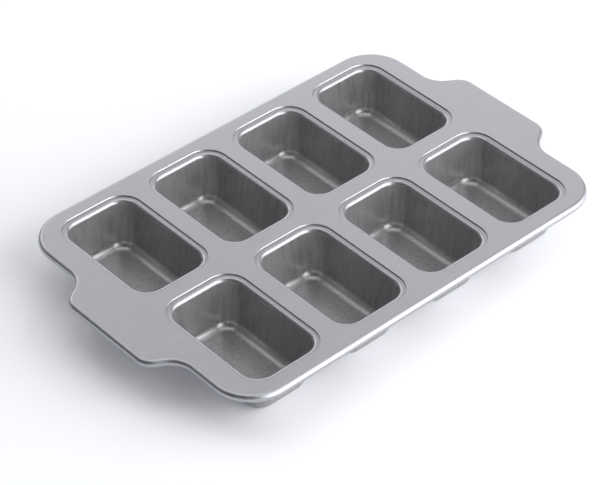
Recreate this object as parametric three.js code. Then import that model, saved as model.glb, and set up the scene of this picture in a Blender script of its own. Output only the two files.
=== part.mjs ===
// Mini cake pan with eight oblong cups: a flat steel deck that flares into a handle at each end, a cup whose
// flange is lapped under each of its openings, and a wire rolled into its edge.
// Millimetres, +Z up. The origin is on the table under the middle of the pan, +X runs from handle to handle.

import * as THREE from "three";

// Sheet and wire
const DECK_SHEET = 0.9;
const CUP_SHEET = 0.6;
const WIRE_DIAMETER = 4.4;

// Openings of the deck, and the free deck left between the flanges that lie under it
const COLUMNS = 4;
const ROW_NAMES = ["front", "back"];
const ROWS = ROW_NAMES.length;
const OPENING_WIDTH = 70.1; // along X
const OPENING_LENGTH = 108.8; // along Y
const OPENING_CORNER_RADIUS = 18.3;
const SPACE_BETWEEN_COLUMNS = 5.6;
const SPACE_BETWEEN_ROWS = 4.4;
const SPACE_AT_ENDS = 8.6;
const SPACE_AT_SIDES = 2.2;

// Cup, measured on the side that holds the cake
const CUP_DEPTH = 40.4; // from the top of the deck to the cup's floor
const DRAFT_AT_SIDES = 8.7; // degrees from upright, of the two long walls
const DRAFT_AT_ENDS = 6.7; // of the two short walls
const FLOOR_FILLET = 7.5;
const LIP_RADIUS = 3.8;
const MOUTH_CORNER_RADIUS = 17.3; // where the flange turns into the lip
const RING_AT_SIDES = 1.15; // flange that shows between the deck's edge and the lip of a long wall
const RING_AT_ENDS = 1.5; // the same at a short wall

// Lap seam between deck and cup
const FLANGE_OVERLAP = 4.4; // of the cup's flange under the deck
const SEAM_CLEARANCE = 0.15;
const EDGE_SLOPE = 64.0; // degrees from level, of the deck's edge that is pressed down at an opening

// Outline of the deck
const BODY_CORNER_RADIUS = 34.0;
const HANDLE_REACH = 22.4; // past the end of the body
const HANDLE_TIP_WIDTH = 72.0; // straight part of the handle's edge
const HANDLE_TIP_RADIUS = 15.0;
const HANDLE_NECK_RADIUS = 20.0;
const HANDLE_FLANK_ANGLE = 32.0; // degrees between the handle's side and the length of the pan

// Rolled edge
const WIRE_CLEARANCE = 0.15;
const CURL_SWEEP = 270.0; // degrees that the sheet turns round the wire

// Facets of the round stretches
const OPENING_CORNER_STEPS = 6;
const BODY_CORNER_STEPS = 6;
const HANDLE_STEPS = 4;
const LIP_STEPS = 4;
const FILLET_STEPS = 4;
const CURL_STEPS = 6;
const WIRE_SIDES = 8;
const LEAST_RADIUS = 0.5; // of an inner corner that its wall leaves no room for

const RIGHT_ANGLE = Math.PI / 2;
const radians = THREE.MathUtils.degToRad;

// The flange lies under the deck, and its inner border shows as a ring. The mouth is where the lip starts.
const flangeTop = -(DECK_SHEET + SEAM_CLEARANCE);
const mouthWidth = OPENING_WIDTH - 2 * RING_AT_SIDES;
const mouthLength = OPENING_LENGTH - 2 * RING_AT_ENDS;

// The curl's facets stand clear of the wire by the clearance, measured at the middle of a facet.
const curlHalfStep = radians(CURL_SWEEP) / CURL_STEPS / 2;
const curlInside = (WIRE_DIAMETER / 2 + WIRE_CLEARANCE) / Math.cos(curlHalfStep);
const curlRadius = curlInside + DECK_SHEET;

// Layout of the openings and size of the deck
const columnPitch = OPENING_WIDTH + 2 * FLANGE_OVERLAP + SPACE_BETWEEN_COLUMNS;
const rowPitch = OPENING_LENGTH + 2 * FLANGE_OVERLAP + SPACE_BETWEEN_ROWS;
const endMargin = FLANGE_OVERLAP + SPACE_AT_ENDS + 2 * curlRadius;
const sideMargin = FLANGE_OVERLAP + SPACE_AT_SIDES + 2 * curlRadius;
const halfBody = ((COLUMNS - 1) * columnPitch + OPENING_WIDTH) / 2 + endMargin;
const halfWidth = ((ROWS - 1) * rowPitch + OPENING_LENGTH) / 2 + sideMargin;
const deckTop = CUP_DEPTH + CUP_SHEET;

// Points of a circular arc, from one angle to the other either way round.
function arc(x, y, radius, from, to, steps) {
  return new THREE.EllipseCurve(x, y, radius, radius, from, to, to < from).getPoints(steps);
}

// A rounded rectangle round the origin.
function roundedRectangle(halfX, halfY, cornerRadius) {
  const radius = Math.min(Math.max(cornerRadius, LEAST_RADIUS), halfX, halfY);
  const x = halfX - radius;
  const y = halfY - radius;
  const centres = [[x, y], [-x, y], [-x, -y], [x, -y]];
  return centres.flatMap(([cx, cy], k) =>
    arc(cx, cy, radius, k * RIGHT_ANGLE, (k + 1) * RIGHT_ANGLE, OPENING_CORNER_STEPS),
  );
}

// The opening's outline, moved outwards by a distance.
function openingOutline(out) {
  return roundedRectangle(OPENING_WIDTH / 2 + out, OPENING_LENGTH / 2 + out, OPENING_CORNER_RADIUS + out);
}

// One quarter of the deck's outline, moved outwards by a distance: the handle's round tip, its hollow neck,
// and the corner of the body. The straight flank is the common tangent of tip and neck.
function quarterOutline(out) {
  const flank = radians(HANDLE_FLANK_ANGLE);
  const flankNormal = RIGHT_ANGLE - flank;
  const roundness = HANDLE_REACH / ((HANDLE_TIP_RADIUS + HANDLE_NECK_RADIUS) * (1 - Math.sin(flank)));
  const tipRadius = HANDLE_TIP_RADIUS * Math.min(1, roundness);
  const neckRadius = HANDLE_NECK_RADIUS * Math.min(1, roundness);
  const bothRadii = tipRadius + neckRadius;
  const tipY = HANDLE_TIP_WIDTH / 2;
  const neckY = tipY + ((HANDLE_REACH - bothRadii) * Math.sin(flank) + bothRadii) / Math.cos(flank);
  const tipX = halfBody + HANDLE_REACH - tipRadius;
  const neckX = halfBody + neckRadius;
  const cornerRadius = Math.min(BODY_CORNER_RADIUS, halfWidth - neckY);
  const cornerX = halfBody - cornerRadius;
  const cornerY = halfWidth - cornerRadius;
  return [
    ...arc(tipX, tipY, tipRadius + out, 0, flankNormal, HANDLE_STEPS),
    ...arc(neckX, neckY, out - neckRadius, flankNormal, 0, HANDLE_STEPS),
    ...arc(cornerX, cornerY, cornerRadius + out, 0, RIGHT_ANGLE, BODY_CORNER_STEPS),
  ];
}

// The whole outline of the deck: a quarter, its mirror image, and both turned half round.
function deckOutline(out) {
  const quarter = quarterOutline(out);
  const mirrored = quarter.map((p) => new THREE.Vector2(-p.x, p.y)).reverse();
  const half = [...quarter, ...mirrored];
  return [...half, ...half.map((p) => p.clone().negate())];
}

// Collects the triangles of one closed surface.
class Skin {
  points = [];

  // Strip between two rings of as many points. It faces away from their middle where the second lies above.
  band(first, second) {
    first.forEach((a, k) => {
      const next = (k + 1) % first.length;
      this.points.push(a, first[next], second[next], a, second[next], second[k]);
    });
  }

  // Surface through a row of rings.
  loft(rings) {
    rings.slice(1).forEach((ring, k) => this.band(rings[k], ring));
    return rings;
  }

  // Flat face inside a ring and outside the holes, facing up or down.
  flat(ring, holes, facingUp) {
    const corners = [ring, ...holes].flat();
    for (const [a, b, c] of THREE.ShapeUtils.triangulateShape(ring, holes)) {
      const turned = facingUp ? [a, b, c] : [c, b, a];
      this.points.push(...turned.map((k) => corners[k]));
    }
  }

  geometry() {
    return new THREE.BufferGeometry().setFromPoints(this.points);
  }
}

// An outline laid flat at a height, round a centre.
function level(outline, height, centre) {
  return outline.map((p) => new THREE.Vector3(p.x + centre.x, p.y + centre.y, height));
}

// Rings of a section carried round an outline. A section point holds how far out of the outline it lies, and
// its height.
function carry(section, outline, centre = new THREE.Vector2()) {
  return section.map((s) => level(outline(s.x), s.y, centre));
}

function sectionPoint(out, height) {
  return new THREE.Vector2(out, height);
}

// The deck's edge at an opening, sloping down from the top to the underside.
function openingEdge() {
  return [
    sectionPoint(DECK_SHEET / Math.tan(radians(EDGE_SLOPE)), 0),
    sectionPoint(0, -DECK_SHEET),
  ];
}

// The deck's outer edge, rolled down and round the wire, from the underside to the top.
function curlSection() {
  const end = RIGHT_ANGLE - radians(CURL_SWEEP);
  return [
    ...arc(-curlRadius, -curlRadius, curlInside, RIGHT_ANGLE, end, CURL_STEPS),
    ...arc(-curlRadius, -curlRadius, curlRadius, end, RIGHT_ANGLE, CURL_STEPS),
  ];
}

// Deck sheet, with the top of its flat face at height 0.
function deckGeometry(centres) {
  const skin = new Skin();
  const curl = skin.loft(carry(curlSection(), deckOutline));
  const edges = centres.map((centre) => skin.loft(carry(openingEdge(), openingOutline, centre)));
  skin.flat(curl.at(0), edges.map((rings) => rings.at(-1)), false);
  skin.flat(curl.at(-1), edges.map((rings) => rings.at(0)), true);
  return skin.geometry();
}

// Section of a cup's wall with that draft, outside and inside: a straight wall that is tangent to the floor's
// fillet and to the lip. A point holds how far out of the mouth it lies, its height, and the corner radius of
// the cup there. The corners keep their radius along the straight wall.
function wallSection(draftDegrees) {
  const draft = radians(draftDegrees);
  const steep = RIGHT_ANGLE - draft;
  const lipY = flangeTop - LIP_RADIUS;
  const filletY = FLOOR_FILLET - CUP_DEPTH;
  const drop = lipY + LIP_RADIUS * Math.sin(draft) - filletY;
  const wallTop = -LIP_RADIUS * Math.cos(draft);
  const filletX = wallTop - (FLOOR_FILLET + drop * Math.sin(draft)) / Math.cos(draft);
  const wallRun = wallTop - (filletX + FLOOR_FILLET * Math.cos(draft));
  const lip = (radius, from, to) =>
    arc(0, lipY, radius, from, to, LIP_STEPS).map((p) =>
      new THREE.Vector3(p.x, p.y, MOUTH_CORNER_RADIUS + p.x));
  const fillet = (radius, from, to) =>
    arc(filletX, filletY, radius, from, to, FILLET_STEPS).map((p) =>
      new THREE.Vector3(p.x, p.y, MOUTH_CORNER_RADIUS + p.x + wallRun));
  return {
    outside: [
      ...fillet(FLOOR_FILLET + CUP_SHEET, -RIGHT_ANGLE, -draft),
      ...lip(LIP_RADIUS - CUP_SHEET, RIGHT_ANGLE + steep, RIGHT_ANGLE),
    ],
    inside: [
      ...lip(LIP_RADIUS, RIGHT_ANGLE, RIGHT_ANGLE + steep),
      ...fillet(FLOOR_FILLET, -draft, -RIGHT_ANGLE),
    ],
  };
}

// Rings of a cup between the section of its long walls and that of its short ones.
function cupRings(side, end) {
  return side.map((s, k) => {
    const middle = s.clone().lerp(end[k], 0.5);
    const outline = roundedRectangle(mouthWidth / 2 + s.x, mouthLength / 2 + end[k].x, middle.z);
    return level(outline, middle.y, new THREE.Vector2());
  });
}

// Cup, with the middle of its opening at the origin and the top of the deck at height 0. Its sheet runs from
// the underside of the floor up the outside to the flange, round the flange's edge, and back down the inside.
function cupGeometry() {
  const side = wallSection(DRAFT_AT_SIDES);
  const end = wallSection(DRAFT_AT_ENDS);
  const flangeEdge = [
    sectionPoint(FLANGE_OVERLAP, flangeTop - CUP_SHEET),
    sectionPoint(FLANGE_OVERLAP, flangeTop),
  ];
  const skin = new Skin();
  const rings = skin.loft([
    ...cupRings(side.outside, end.outside),
    ...carry(flangeEdge, openingOutline),
    ...cupRings(side.inside, end.inside),
  ]);
  skin.flat(rings.at(0), [], false);
  skin.flat(rings.at(-1), [], true);
  return skin.geometry();
}

// Hoop of wire in the middle of the deck's curl, its ends welded together.
function wireGeometry() {
  const skin = new Skin();
  const section = arc(-curlRadius, -curlRadius, WIRE_DIAMETER / 2, 0, 4 * RIGHT_ANGLE, WIRE_SIDES);
  skin.loft(carry(section, deckOutline));
  return skin.geometry();
}

const satinSteel = new THREE.MeshStandardMaterial({ color: 0xacadb2, roughness: 0.35, metalness: 0.9 });
const drawnSteel = new THREE.MeshStandardMaterial({ color: 0x9fa1a6, roughness: 0.3, metalness: 0.9 });
const wireSteel = new THREE.MeshStandardMaterial({ color: 0x8c8e92, roughness: 0.45, metalness: 1.0 });

// Middles of the openings, row by row from the front, each row from left to right.
const places = ROW_NAMES.flatMap((row, r) =>
  Array.from({ length: COLUMNS }, (_, c) => ({
    name: `cup_${row}_${c + 1}`,
    centre: new THREE.Vector2(
      (c - (COLUMNS - 1) / 2) * columnPitch,
      (r - (ROWS - 1) / 2) * rowPitch,
    ),
  })),
);

const pan = new THREE.Group();

function addPiece(name, geometry, material, centre = new THREE.Vector2()) {
  const piece = new THREE.Mesh(geometry, material);
  piece.name = name;
  piece.position.set(centre.x, centre.y, deckTop);
  pan.add(piece);
}

addPiece("deck", deckGeometry(places.map((place) => place.centre)), satinSteel);
addPiece("rim_wire", wireGeometry(), wireSteel);
const cup = cupGeometry();
places.forEach((place) => addPiece(place.name, cup, drawnSteel, place.centre));

export default pan;
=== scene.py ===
# %% [markdown]
# # Mini cake pan
# The pan is made of sheet steel: a flat deck with a handle at each end, eight drawn cups whose flanges
# lie under the deck's openings, and a wire that the deck's outer edge is rolled round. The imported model
# gives the real places and sizes of these pieces in flat facets. This lesson rebuilds each of them as a
# smooth surface, gives them their finish, and sets them on a pale floor under soft studio light.

import bpy
import numpy as np
from mathutils import Matrix, Vector
from mathutils.geometry import tessellate_polygon


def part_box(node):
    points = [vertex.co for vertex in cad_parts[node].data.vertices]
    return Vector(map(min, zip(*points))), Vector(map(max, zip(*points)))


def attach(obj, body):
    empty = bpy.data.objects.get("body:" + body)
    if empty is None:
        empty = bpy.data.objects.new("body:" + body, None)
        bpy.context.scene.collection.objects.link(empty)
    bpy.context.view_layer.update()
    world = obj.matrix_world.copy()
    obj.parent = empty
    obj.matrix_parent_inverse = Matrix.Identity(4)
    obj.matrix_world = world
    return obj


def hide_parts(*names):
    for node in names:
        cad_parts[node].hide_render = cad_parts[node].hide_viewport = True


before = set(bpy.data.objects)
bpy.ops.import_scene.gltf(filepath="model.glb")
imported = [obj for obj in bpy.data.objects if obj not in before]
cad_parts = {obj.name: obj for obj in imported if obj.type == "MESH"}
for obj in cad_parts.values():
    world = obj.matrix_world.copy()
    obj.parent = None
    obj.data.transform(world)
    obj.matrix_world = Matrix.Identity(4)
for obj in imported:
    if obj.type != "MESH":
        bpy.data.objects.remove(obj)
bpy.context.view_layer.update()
print("CAD nodes:", ", ".join(sorted(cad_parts)))

# %% [markdown]
# ## Measures
# A lesson needs the same numbers as the workshop drawing. The level of the deck and the middles of the
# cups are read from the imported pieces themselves, so that they can't drift apart. The bend radii, which
# a box doesn't show, are written down here in millimetres. Blender works in metres, so meshes are
# scaled as the last step.

# %% Measures
MM = 0.001
DECK_SHEET = 0.9
CUP_SHEET = 0.6
WIRE_RADIUS = 2.2

OPENING_HALF = np.array([35.05, 54.4])  # half width and half length of an opening in the deck
OPENING_CORNER = 18.3
EDGE_SLOPE = 64  # degrees from level, of the edge that is pressed down round an opening
EDGE_LAND = 0.05  # upright foot under that slope
EDGE_DROP = DECK_SHEET - EDGE_LAND  # from the top of the deck to the foot of the slope
EDGE_ROUNDING = 0.1

RING = np.array([1.15, 1.5])  # flange that shows inside the opening, at its long sides and at its ends
MOUTH_HALF = OPENING_HALF - RING
MOUTH_CORNER = 17.3
CUP_DEPTH = 40.4
SIDE_DRAFT, END_DRAFT = 8.7, 6.7  # degrees from upright, of the long and the short walls
FLOOR_FILLET = 7.5
LIP_RADIUS = 3.8
FLANGE_OVERLAP = 4.4
FLANGE_TOP = -1.05  # one sheet and a hair below the top of the deck

CURL_SWEEP = 270  # degrees that the deck's edge turns round the wire
CURL_INSIDE = 2.544  # radius inside the roll, which leaves the wire a little room
CURL_RADIUS = CURL_INSIDE + DECK_SHEET

half_length, half_width, deck_top = np.array(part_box("deck")[1]) / MM
cup_names = sorted(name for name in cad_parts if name.startswith("cup_"))
cup_middles = {name: np.mean(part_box(name), axis=0)[:2] / MM for name in cup_names}
print(f"deck {2 * half_length:.1f} x {2 * half_width:.1f} mm, its top at {deck_top:.1f} mm")
print(f"{len(cup_names)} cups")

# %% [markdown]
# ## Outlines
# Seen from above, the edge of the deck is a chain of arcs joined by straight lines. Such a chain could
# be a curve object, but a sheet-metal piece needs it many times over, each time moved a little outwards
# or inwards. So a point is kept as the centre of its arc, a radius and a direction: moving the outline
# outwards only lengthens the radius, and the direction is the outline's normal as well. The hollow neck
# of the handle bends the other way, which is a negative radius. The openings and the cups are rounded
# rectangles, whose four corners share one set of directions.

# %% Outlines
ARC_STEPS = 14


def arc_chain(arcs):
    """Arcs in a row, each given as centre x, centre y, radius, first and last angle: a point is its
    arc's centre plus the radius times a direction, with the directions spread evenly over the angle."""
    x, y, radius, first, last = np.array(arcs, float).T
    share = np.linspace(0, 1, ARC_STEPS + 1)
    angle = np.radians(first[:, None] + (last - first)[:, None] * share).ravel()
    centre = np.repeat(np.column_stack([x, y]), ARC_STEPS + 1, axis=0)
    direction = np.column_stack([np.cos(angle), np.sin(angle)])
    return centre, np.repeat(radius, ARC_STEPS + 1), direction


quarter_turn = np.linspace(0, 90, ARC_STEPS + 1)
corner_angle = np.radians(90 * np.arange(4)[:, None] + quarter_turn).ravel()
CORNER_DIRECTION = np.column_stack([np.cos(corner_angle), np.sin(corner_angle)])
CORNER_SIDE = np.repeat([(1, 1), (-1, 1), (-1, -1), (1, -1)], ARC_STEPS + 1, axis=0)

BODY_CORNER = 34.0
HANDLE_REACH = 22.4
HANDLE_TIP_HALF = 36.0
HANDLE_TIP_RADIUS = 15.0
HANDLE_NECK_RADIUS = 20.0
HANDLE_FLANK = 32.0  # degrees between the side of the handle and the length of the pan

half_body = half_length - HANDLE_REACH
flank = np.radians(HANDLE_FLANK)
both_radii = HANDLE_TIP_RADIUS + HANDLE_NECK_RADIUS
neck_y = HANDLE_TIP_HALF + ((HANDLE_REACH - both_radii) * np.sin(flank) + both_radii) / np.cos(flank)
flank_normal = 90 - HANDLE_FLANK
quarter = np.array([
    (half_length - HANDLE_TIP_RADIUS, HANDLE_TIP_HALF, HANDLE_TIP_RADIUS, 0, flank_normal),
    (half_body + HANDLE_NECK_RADIUS, neck_y, -HANDLE_NECK_RADIUS, flank_normal, 0),
    (half_body - BODY_CORNER, half_width - BODY_CORNER, BODY_CORNER, 0, 90),
])
mirrored = quarter[::-1, [0, 1, 2, 4, 3]] * [-1, 1, 1, -1, -1] + [0, 0, 0, 180, 180]
half = np.vstack([quarter, mirrored])
turned = half * [-1, -1, 1, 1, 1] + [0, 0, 0, 180, 180]
deck_edge = arc_chain(np.vstack([half, turned]))
print(f"an opening's outline has {len(CORNER_SIDE)} points, the deck's has {len(deck_edge[1])}")

# %% [markdown]
# ## Sheet carried round an outline
# A bent sheet is the same section all the way round: how far it lies outside the outline, and how high.
# The surface is therefore a function of two parameters, the place along the section and the place along
# the outline. The walls of a cup lean in more at its long sides than at its ends, so there each ring of
# the section is a rounded rectangle with its own width, length and corner radius. Smooth shading needs
# normals. Blender's own average would tilt the flat faces next to a small bend, so the normal is worked
# out from the section: across the line between a point's two neighbours. A long straight stretch
# outweighs a short facet there, so flat faces stay flat right up to the bend.

# %% Sheet carried round an outline
FAR_AWAY = 1000.0  # a flat face beyond the end of a section counts as this long


def arc(x, y, radius, first, last, steps):
    """Points of one arc of a section: centre plus radius times (cos, sin) of evenly spread angles in
    degrees."""
    angle = np.radians(np.linspace(first, last, steps + 1))
    return np.column_stack([x + radius * np.cos(angle), y + radius * np.sin(angle)])


def steps_along(section, outwards, flats):
    """Step from the neighbour before each row of a section to the neighbour after it. The two flats say
    whether the section goes on into a flat face outwards (1) or inwards (-1), before its first and
    after its last row. Without them it is closed."""
    if flats is None:
        ends = section[[-1, 0]]
    else:
        ends = section[[0, -1]] + FAR_AWAY * np.outer(flats, outwards)
    padded = np.vstack([ends[:1], section, ends[1:]])
    return padded[2:] - padded[:-2]


def carry(section, outline, flats=None):
    """Carries a section round an outline: section point (o, z) gives the ring centre + (radius + o) *
    direction, z above the top of the deck. Its normal is (z', -o') in the plane of that direction.
    Returns points and normals."""
    step = steps_along(section, (1, 0), flats)
    across = np.column_stack([step[:, 1], -step[:, 0]])
    across /= np.linalg.norm(across, axis=1, keepdims=True)

    centre, radius, direction = outline
    plan = centre + (radius + section[:, :1])[..., None] * direction
    level = np.ones(len(radius))
    points = np.dstack([plan, np.outer(deck_top + section[:, 1], level)])
    normals = np.dstack([across[:, :1, None] * direction, np.outer(across[:, 1], level)])
    return points, normals


def stack(rings, middle, flats):
    """Stacks rounded rectangles: ring (half x, half y, corner, z) has the points side * (half - corner)
    + corner * direction, z above the top of the deck. A step along the section moves a point outwards
    by d = |direction| . (half' - corner') + corner', so the normal is (z' * direction, -d)."""
    step = steps_along(rings, (1, 1, 1, 0), flats)
    half, corner = rings[:, None, :2], rings[:, None, 2:3]
    plan = middle + (half - corner) * CORNER_SIDE + corner * CORNER_DIRECTION
    points = np.dstack([plan, np.outer(deck_top + rings[:, 3], np.ones(len(CORNER_SIDE)))])
    outward = (step[:, :2] - step[:, 2:3]) @ np.abs(CORNER_DIRECTION).T + step[:, 2:3]
    normals = np.dstack([step[:, None, 3:] * CORNER_DIRECTION, -outward])
    return points, normals / np.linalg.norm(normals, axis=2, keepdims=True)


def ring_faces(shape, first_index, closed=False):
    """Quads between neighbouring rings of a grid of that shape. The last point of a ring joins the
    first one, and in a closed section the last ring joins the first."""
    index = first_index + np.arange(shape[0] * shape[1]).reshape(shape[:2])
    beside = np.roll(index, -1, axis=1)
    quads = np.dstack([index, beside, np.roll(beside, -1, axis=0), np.roll(index, -1, axis=0)])
    return (quads if closed else quads[:-1]).reshape(-1, 4)


def flat_with_holes(points, loops, facing_up):
    """Triangles of a flat face between an outer loop and its holes, given as arrays of point indices. A
    grid can't go round holes, so Blender's polygon filler picks the triangles, and those that face the
    wrong way are turned."""
    picks = tessellate_polygon([[Vector(p) for p in points[loop]] for loop in loops])
    triangles = np.concatenate(loops)[np.array(picks)]
    a, b, c = (points[triangles[:, k], :2] for k in range(3))
    upward = np.cross(b - a, c - a) > 0
    wrong = upward != facing_up
    triangles[wrong] = triangles[wrong][:, ::-1]
    return triangles


def make_piece(name, points, normals, faces):
    """Turns points and normals in millimetres into a smooth mesh object at the origin."""
    mesh = bpy.data.meshes.new(name)
    mesh.from_pydata(points * MM, [], faces)
    mesh.shade_smooth()
    mesh.normals_split_custom_set_from_vertices(normals)
    piece = bpy.data.objects.new(name, mesh)
    bpy.context.scene.collection.objects.link(piece)
    mesh.calc_loop_triangles()
    print(f"{name}: {len(mesh.vertices)} points, {len(mesh.loop_triangles)} triangles")
    return piece


# %% [markdown]
# ## Deck
# The deck is one blank of sheet. At its outer edge it is rolled down and three quarters round a wire,
# which gives the stiff round rim that a hand takes hold of. At each opening its edge is pressed down to
# a steep slope, which shows as a bright line at the far ends and as a dark one at the right-hand sides.
# Roll and slope are sections carried round their outlines, and flat faces above and below fill the
# space between them. A plane with Solidify and Bevel modifiers would be quicker, but it doesn't have
# the roll.

# %% Deck
ROLL_STEPS = 36
EDGE_STEPS = 8


def rolled_edge():
    """Section of the rim: inside of the roll from the underside of the deck, then back along the
    outside to the top. Both are arcs round the wire's middle, one radius below and one radius inside
    the deck's edge."""
    end = 90 - CURL_SWEEP
    return np.vstack([
        arc(-CURL_RADIUS, -CURL_RADIUS, CURL_INSIDE, 90, end, ROLL_STEPS),
        arc(-CURL_RADIUS, -CURL_RADIUS, CURL_RADIUS, end, 90, ROLL_STEPS),
    ])


def opening_rings(section):
    """Rings of a section (o, z) round the opening: half size and corner radius both grow by o."""
    out, z = section[:, :1], section[:, 1:]
    return np.hstack([OPENING_HALF + out, OPENING_CORNER + out, z])


def pressed_edge():
    """Section of an opening's edge: a turn down from the top of the deck, a slope, then upright to its
    underside. The turn touches the top and the slope, so its centre lies r * tan(slope / 2) outside the
    line where they meet."""
    slope = np.radians(EDGE_SLOPE)
    x = EDGE_DROP / np.tan(slope) + EDGE_ROUNDING * np.tan(slope / 2)
    rounded = arc(x, -EDGE_ROUNDING, EDGE_ROUNDING, 90, 90 + EDGE_SLOPE, EDGE_STEPS)
    return np.vstack([rounded, [(0, -EDGE_DROP), (0, -DECK_SHEET)]])


edges = [carry(rolled_edge(), deck_edge, flats=(-1, -1))]
edges += [stack(opening_rings(pressed_edge()), cup_middles[name], flats=(1, 1)) for name in cup_names]
starts = np.cumsum([0] + [points[..., 0].size for points, _ in edges])
deck_points = np.vstack([points.reshape(-1, 3) for points, _ in edges])
deck_normals = np.vstack([normals.reshape(-1, 3) for _, normals in edges])
deck_faces = [ring_faces(points.shape, start) for (points, _), start in zip(edges, starts)]
first_rings = [start + np.arange(points.shape[1]) for (points, _), start in zip(edges, starts)]
last_rings = [
    end - points.shape[1] + np.arange(points.shape[1]) for (points, _), end in zip(edges, starts[1:])]
deck_top_face = flat_with_holes(deck_points, last_rings[:1] + first_rings[1:], True)
deck_underside = flat_with_holes(deck_points, first_rings[:1] + last_rings[1:], False)
all_faces = np.vstack(deck_faces).tolist() + deck_top_face.tolist() + deck_underside.tolist()
deck = make_piece("pressed_deck", deck_points, deck_normals, all_faces)

# %% [markdown]
# ## Cups
# Each cup is drawn from its own blank. From the floor the sheet turns up through a generous fillet,
# rises at a slight draft so that a cake drops out, and rolls over a soft lip into a flat flange, which
# is spot-welded under the deck. A narrow ring of the flange shows inside the opening. All of that is
# one sheet, so a cup is one closed surface: up its outside, round the flange's edge, and down its
# inside.

# %% Cups
FILLET_STEPS = 14
LIP_STEPS = 14


def wall_section(draft):
    """Section of a wall with that draft, outside and inside, as rows (o, corner, z), where o counts
    outwards from the mouth: a lip and a fillet joined by a straight wall, their common tangent, with
    radii that differ by the sheet. Along the arcs the cup's corner radius follows o, and along the
    straight wall it stays the same."""
    lean = np.radians(draft)
    lip_y = FLANGE_TOP - LIP_RADIUS
    fillet_y = FLOOR_FILLET - CUP_DEPTH
    drop = lip_y + LIP_RADIUS * np.sin(lean) - fillet_y
    wall_top = -LIP_RADIUS * np.cos(lean)
    fillet_x = wall_top - (FLOOR_FILLET + drop * np.sin(lean)) / np.cos(lean)
    wall_run = wall_top - (fillet_x + FLOOR_FILLET * np.cos(lean))

    def rows(points, gained):
        return np.column_stack([points[:, 0], MOUTH_CORNER + points[:, 0] + gained, points[:, 1]])

    outside = np.vstack([
        rows(arc(fillet_x, fillet_y, FLOOR_FILLET + CUP_SHEET, -90, -draft, FILLET_STEPS), wall_run),
        rows(arc(0, lip_y, LIP_RADIUS - CUP_SHEET, 180 - draft, 90, LIP_STEPS), 0),
    ])
    inside = np.vstack([
        rows(arc(0, lip_y, LIP_RADIUS, 90, 180 - draft, LIP_STEPS), 0),
        rows(arc(fillet_x, fillet_y, FLOOR_FILLET, -draft, -90, FILLET_STEPS), wall_run),
    ])
    return outside, inside


def cup_rings(side, end):
    """Rings between the section of the long walls and that of the short ones: width from the first,
    length from the second, corner radius and height halfway between them."""
    half = MOUTH_HALF + np.column_stack([side[:, 0], end[:, 0]])
    return np.hstack([half, (side[:, 1:] + end[:, 1:]) / 2])


outside, inside = map(cup_rings, wall_section(SIDE_DRAFT), wall_section(END_DRAFT))
flange_edge = opening_rings(np.array([
    (FLANGE_OVERLAP, FLANGE_TOP - CUP_SHEET),
    (FLANGE_OVERLAP, FLANGE_TOP),
]))
print("floor of a cup, half width, half length and corner:", inside[-1, :3].round(2))


def make_cup(name):
    """One cup: outside, flange's edge and inside in a row, with a flat floor inside and a flat
    underside."""
    middle = cup_middles[name]
    bands = [
        stack(outside, middle, flats=(-1, 1)),
        stack(flange_edge, middle, flats=(-1, -1)),
        stack(inside, middle, flats=(1, -1)),
    ]
    points = np.concatenate([band[0] for band in bands])
    normals = np.concatenate([band[1] for band in bands])
    rings, around = points.shape[:2]
    underside = np.arange(around)[::-1]
    floor_inside = (rings - 1) * around + np.arange(around)
    faces = ring_faces(points.shape, 0).tolist() + [underside.tolist(), floor_inside.tolist()]
    return make_piece("drawn_" + name, points.reshape(-1, 3), normals.reshape(-1, 3), faces)


cups = {name: make_cup(name) for name in cup_names}

# %% [markdown]
# ## Wire
# The wire inside the rim is a closed hoop. It shows only from below, in the slot that the rolled edge
# leaves open, and it is a round section carried round the same outline.

# %% Wire
WIRE_SIDES = 24
wire_section = arc(-CURL_RADIUS, -CURL_RADIUS, WIRE_RADIUS, 0, 360, WIRE_SIDES)[:-1]
wire_points, wire_normals = carry(wire_section, deck_edge)
wire_faces = ring_faces(wire_points.shape, 0, closed=True).tolist()
wire = make_piece("edge_wire", wire_points.reshape(-1, 3), wire_normals.reshape(-1, 3), wire_faces)

# %% [markdown]
# ## Finishes
# The sheet is aluminised steel: steel dipped in molten aluminium and then rolled, so it is a plain
# silvery metal with a satin surface. Two things make satin: the mirror image is blurred, which is the
# roughness, and part of the light is scattered widely by the grit, which is why the sheet's metallic
# value stays below one. Rolling leaves faint streaks along the deck, and drawing leaves upright ones in the
# cups. All of that is made from noise on Object coordinates, which run in metres, so a pattern's scale
# is one over its real size.

# %% Finishes
GRAIN_DETAIL = {"Detail": 3.0, "Roughness": 0.6}
STREAK_DETAIL = {"Detail": 4.0}
STREAK_SHARE = 0.45  # of the streaks in the mix of streaks and grain
TONE_STOPS = (0.35, 0.65)  # of the mix, where the two tones are reached
GLOSS_STOPS = (0.3, 0.7)  # of the mix, where the roughness is lowest and highest
GLOSS_SHARES = (0.9, 1.1)  # of the roughness, at those two stops


def linear(hex_colour):
    """Linear RGBA of an sRGB hex colour: c / 12.92 for small c, otherwise ((c + 0.055) / 1.055) ** 2.4."""
    srgb = np.array([int(hex_colour[k:k + 2], 16) for k in (1, 3, 5)]) / 255
    rgb = np.where(srgb <= 0.04045, srgb / 12.92, ((srgb + 0.055) / 1.055) ** 2.4)
    return (*rgb, 1.0)


def add_node(tree, kind, inputs, **settings):
    """Adds a node with its settings. A socket among the inputs is linked, and anything else is set as a
    value."""
    node = tree.nodes.new(kind)
    for name, value in settings.items():
        setattr(node, name, value)
    for name, value in inputs.items():
        if isinstance(value, bpy.types.NodeSocket):
            tree.links.new(value, node.inputs[name])
        else:
            node.inputs[name].default_value = value
    return node


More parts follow.
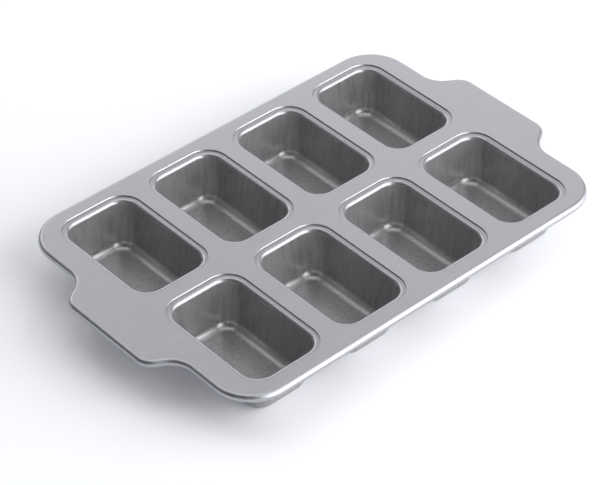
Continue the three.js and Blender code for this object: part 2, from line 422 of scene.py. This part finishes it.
def satin_metal(name, tones, roughness, metallic, grain_mm, streak_mm, stretch, relief_mm):
    """Satin metal: grain and streaks of those sizes vary the colour between two tones and the roughness
    by a tenth, and the grain raises the surface by the relief. The streaks are drawn out where the
    stretch is small."""
    material = bpy.data.materials.new(name)
    material.use_nodes = True
    tree = material.node_tree
    shader = tree.nodes["Principled BSDF"]
    shader.inputs["Metallic"].default_value = metallic
    place = add_node(tree, "ShaderNodeTexCoord", {}).outputs["Object"]
    grain = add_node(tree, "ShaderNodeTexNoise", {
        "Vector": place, "Scale": 1 / (grain_mm * MM), **GRAIN_DETAIL})
    drawn_out = add_node(tree, "ShaderNodeMapping", {"Vector": place, "Scale": stretch})
    streaks = add_node(tree, "ShaderNodeTexNoise", {
        "Vector": drawn_out.outputs["Vector"], "Scale": 1 / (streak_mm * MM), **STREAK_DETAIL})
    both = add_node(tree, "ShaderNodeMix", {
        "Factor": STREAK_SHARE, "A": grain.outputs["Fac"], "B": streaks.outputs["Fac"]})
    tone = add_node(tree, "ShaderNodeValToRGB", {"Fac": both.outputs["Result"]})
    for stop, position, colour in zip(tone.color_ramp.elements, TONE_STOPS, tones):
        stop.position = position
        stop.color = linear(colour)
    tree.links.new(tone.outputs["Color"], shader.inputs["Base Color"])
    gloss = add_node(tree, "ShaderNodeMapRange", {
        "Value": both.outputs["Result"], "From Min": GLOSS_STOPS[0], "From Max": GLOSS_STOPS[1],
        "To Min": roughness * GLOSS_SHARES[0], "To Max": roughness * GLOSS_SHARES[1]})
    tree.links.new(gloss.outputs["Result"], shader.inputs["Roughness"])
    bump = add_node(tree, "ShaderNodeBump", {
        "Height": grain.outputs["Fac"], "Distance": relief_mm * MM, "Strength": 1.0})
    tree.links.new(bump.outputs["Normal"], shader.inputs["Normal"])
    return material


ROLLED_METALLIC = 0.85
DRAWN_METALLIC = 0.58

# Rolled aluminised steel: even, silvery and satin, a little cool, with a grit of about 0.1 mm drawn at
# 0.8 mm.
deck_finish = satin_metal(
    "aluminised_steel_rolled", tones=("#aaabb0", "#b0b1b6"), roughness=0.36, metallic=ROLLED_METALLIC,
    grain_mm=0.8, streak_mm=3.0, stretch=(0.1, 1.0, 1.0), relief_mm=0.0014)
# The same sheet after deep drawing: burnished by the die, so its mirror images are sharper, and drawn
# into upright streaks.
cup_finish = satin_metal(
    "aluminised_steel_drawn", tones=("#8f8f91", "#a5a5a7"), roughness=0.29, metallic=DRAWN_METALLIC,
    grain_mm=0.8, streak_mm=3.0, stretch=(1.0, 1.0, 0.03), relief_mm=0.0001)
# The flange isn't drawn, so it keeps the paler rolled surface, and the change between the two runs down
# the lip. A mixing node has several sets of sockets under the same names, so those for colours are
# picked by number.
FLANGE_TONE = "#a9a9ae"
LIP_SHARE = 0.6  # of the lip's radius, that the change takes
COLOUR_A, COLOUR_B, MIXED_COLOUR = 6, 7, 2
cup_tree = cup_finish.node_tree
cup_shader = cup_tree.nodes["Principled BSDF"]
cup_place = add_node(cup_tree, "ShaderNodeTexCoord", {}).outputs["Object"]
height = add_node(cup_tree, "ShaderNodeSeparateXYZ", {"Vector": cup_place}).outputs["Z"]
flange_level = (deck_top + FLANGE_TOP) * MM
drawn_level = flange_level - LIP_SHARE * LIP_RADIUS * MM
change = add_node(cup_tree, "ShaderNodeMapRange", {
    "Value": height, "From Min": drawn_level, "From Max": flange_level})
rolled = change.outputs["Result"]
drawn_tone = cup_shader.inputs["Base Color"].links[0].from_socket
cup_tone = add_node(cup_tree, "ShaderNodeMix", {
    "Factor": rolled, COLOUR_A: drawn_tone, COLOUR_B: linear(FLANGE_TONE)}, data_type="RGBA")
cup_tree.links.new(cup_tone.outputs[MIXED_COLOUR], cup_shader.inputs["Base Color"])
cup_metal = add_node(cup_tree, "ShaderNodeMapRange", {
    "Value": rolled, "To Min": DRAWN_METALLIC, "To Max": ROLLED_METALLIC})
cup_tree.links.new(cup_metal.outputs["Result"], cup_shader.inputs["Metallic"])
# Drawn steel wire: bright, with a darker tone than the aluminised sheet.
wire_finish = satin_metal(
    "steel_wire_drawn", tones=("#8c8d92", "#9c9da1"), roughness=0.32, metallic=1.0,
    grain_mm=0.5, streak_mm=1.0, stretch=(1.0, 1.0, 1.0), relief_mm=0.003)
print("finishes:", deck_finish.name, cup_finish.name, wire_finish.name)

# %% [markdown]
# ## Putting the pieces on the pan
# Each smooth piece stands for the imported piece of the same place, takes its finish and rides on
# the pan's one body.

# %% Putting the pieces on the pan
dressed = [(deck, "deck", deck_finish, "deck_sheet"), (wire, "rim_wire", wire_finish, "rim_wire")]
dressed += [(cup, name, cup_finish, "cup_sheet") for name, cup in cups.items()]
for piece, node, finish, slot in dressed:
    piece.data.materials.append(finish)
    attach(piece, "root")
    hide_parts(node)
print(f"{len(dressed)} pieces ride on root")

# %% [markdown]
# ## Floor and light
# The pan stands on a white sweep of paper. Metal shows what surrounds it, so the studio is built as a
# dome of soft boxes in tiers: a wide bright bank at the right draws the white lines along the near rim
# and the far lips, a dimmer bank behind the pan gives the deck its even grey, and boxes overhead reach
# into the cups. The left side and the side of the camera stay dark, which keeps the right-hand walls of
# the cups deep. All boxes look at the pan from the same distance, so a direction is enough to place
# one.

# %% Floor and light
FLOOR_HALF = 4.0  # metres
PAPER_GLOW = 0.14
floor_mesh = bpy.data.meshes.new("paper_floor")
floor_corners = FLOOR_HALF * np.array([(-1, -1, 0), (1, -1, 0), (1, 1, 0), (-1, 1, 0)])
floor_mesh.from_pydata(floor_corners, [], [(0, 1, 2, 3)])
floor = bpy.data.objects.new("paper_floor", floor_mesh)
bpy.context.scene.collection.objects.link(floor)
# White paper: matt and a little cool. A faint glow, seen by the camera and in mirror images but
# lighting nothing, lifts the paper to white and keeps the shadows soft.
paper = bpy.data.materials.new("white_paper")
paper.use_nodes = True
paper_shader = paper.node_tree.nodes["Principled BSDF"]
paper_shader.inputs["Base Color"].default_value = linear("#ebecf0")
paper_shader.inputs["Roughness"].default_value = 0.9
paper_shader.inputs["Specular IOR Level"].default_value = 0.1
paper_shader.inputs["Emission Color"].default_value = linear("#eceef8")
ray = add_node(paper.node_tree, "ShaderNodeLightPath", {}).outputs
seen = ray["Is Camera Ray"]
for kind in ("Is Glossy Ray", "Is Transmission Ray"):
    either = add_node(paper.node_tree, "ShaderNodeMath", {0: seen, 1: ray[kind]}, operation="MAXIMUM")
    seen = either.outputs[0]
glow = add_node(paper.node_tree, "ShaderNodeMath", {0: seen, 1: PAPER_GLOW}, operation="MULTIPLY")
paper.node_tree.links.new(glow.outputs[0], paper_shader.inputs["Emission Strength"])
floor_mesh.materials.append(paper)

BOX_DISTANCE = 1.9  # metres
BOX_AIM = Vector((0, 0, 0.02))


def soft_box(name, azimuth, elevation, width, height, radiance):
    """A rectangular lamp at that azimuth (in degrees, from +X towards +Y) and elevation, turned to the
    pan, with a power that gives its face that radiance: power = radiance * pi * width * height."""
    lamp = bpy.data.lights.new(name, "AREA")
    lamp.shape = "RECTANGLE"
    lamp.size, lamp.size_y = width, height
    lamp.energy = radiance * np.pi * width * height
    box = bpy.data.objects.new(name, lamp)
    a, e = np.radians([azimuth, elevation])
    box.location = BOX_DISTANCE * Vector((np.cos(a) * np.cos(e), np.sin(a) * np.cos(e), np.sin(e)))
    box.rotation_euler = (BOX_AIM - box.location).to_track_quat("-Z", "Y").to_euler()
    bpy.context.scene.collection.objects.link(box)


# Each tier: elevation, width and height of its boxes, then the radiance of the box at each azimuth.
tiers = {
    "low_box": ((9, 1.0, 0.6), {270: 4.6, 300: 4.8, 330: 3.0, 0: 0.4, 30: 0.9, 60: 1.4}),
    "middle_box": ((27, 0.9, 0.6), {
        270: 3.9, 300: 5.2, 330: 3.1, 0: 0.5, 30: 1.4, 60: 1.6, 90: 2.1, 120: 0.6}),
    "upper_box": ((45, 0.75, 0.6), {
        240: 0.3, 270: 3.4, 300: 4.0, 330: 1.9, 0: 0.2, 30: 0.9, 60: 0.6, 90: 1.3, 120: 0.6, 150: 0.4}),
    "high_box": ((64, 0.6, 0.62), {
        270: 0.4, 300: 1.0, 330: 1.0, 0: 0.7, 30: 0.4, 60: 0.6, 90: 0.6, 120: 1.3, 150: 1.0}),
    "ceiling_box": ((90, 1.0, 1.0), {0: 1.6}),
}
for tier, (form, radiances) in tiers.items():
    for azimuth, radiance in radiances.items():
        soft_box(f"{tier}_{azimuth}", azimuth, *form, radiance)

world = bpy.data.worlds.new("dark_studio")
bpy.context.scene.world = world
world.use_nodes = True
world.node_tree.nodes["Background"].inputs["Color"].default_value = linear("#d8dce4")
world.node_tree.nodes["Background"].inputs["Strength"].default_value = 0.01
bpy.context.scene.view_settings.view_transform = "Standard"
print(f"{sum(len(radiances) for _, radiances in tiers.values())} soft boxes")

# %% [markdown]
# ## Camera
# The photograph was taken with a long lens from above one corner. The camera is set by the point that
# it looks at, its direction, its distance and its focal length in pixels of a picture 606 wide.

# %% Camera
PICTURE_WIDTH = 606
SENSOR_WIDTH = 36.0  # millimetres
FOCAL_PIXELS = 2291.9
CAMERA_DISTANCE = 1.6992
CAMERA_AIM = np.array([-0.03318, -0.02194, 0.041])
azimuth, elevation, roll = np.radians([-42.26, 40.20, 0.146])

backward = np.array([
    np.sin(azimuth) * np.cos(elevation), -np.cos(azimuth) * np.cos(elevation), np.sin(elevation)])
level_right = np.cross([0, 0, 1], backward)
level_right /= np.linalg.norm(level_right)
level_up = np.cross(backward, level_right)
right = np.cos(roll) * level_right + np.sin(roll) * level_up
up = np.cos(roll) * level_up - np.sin(roll) * level_right

camera_data = bpy.data.cameras.new("camera")
camera_data.sensor_width = SENSOR_WIDTH
camera_data.lens = FOCAL_PIXELS / PICTURE_WIDTH * camera_data.sensor_width
camera = bpy.data.objects.new("camera", camera_data)
bpy.context.scene.collection.objects.link(camera)
pose = np.eye(4)
pose[:3] = np.column_stack([right, up, backward, CAMERA_AIM + CAMERA_DISTANCE * backward])
camera.matrix_world = Matrix(pose.tolist())
bpy.context.scene.camera = camera
print(f"lens {camera_data.lens:.1f} mm, {CAMERA_DISTANCE:.2f} m away")
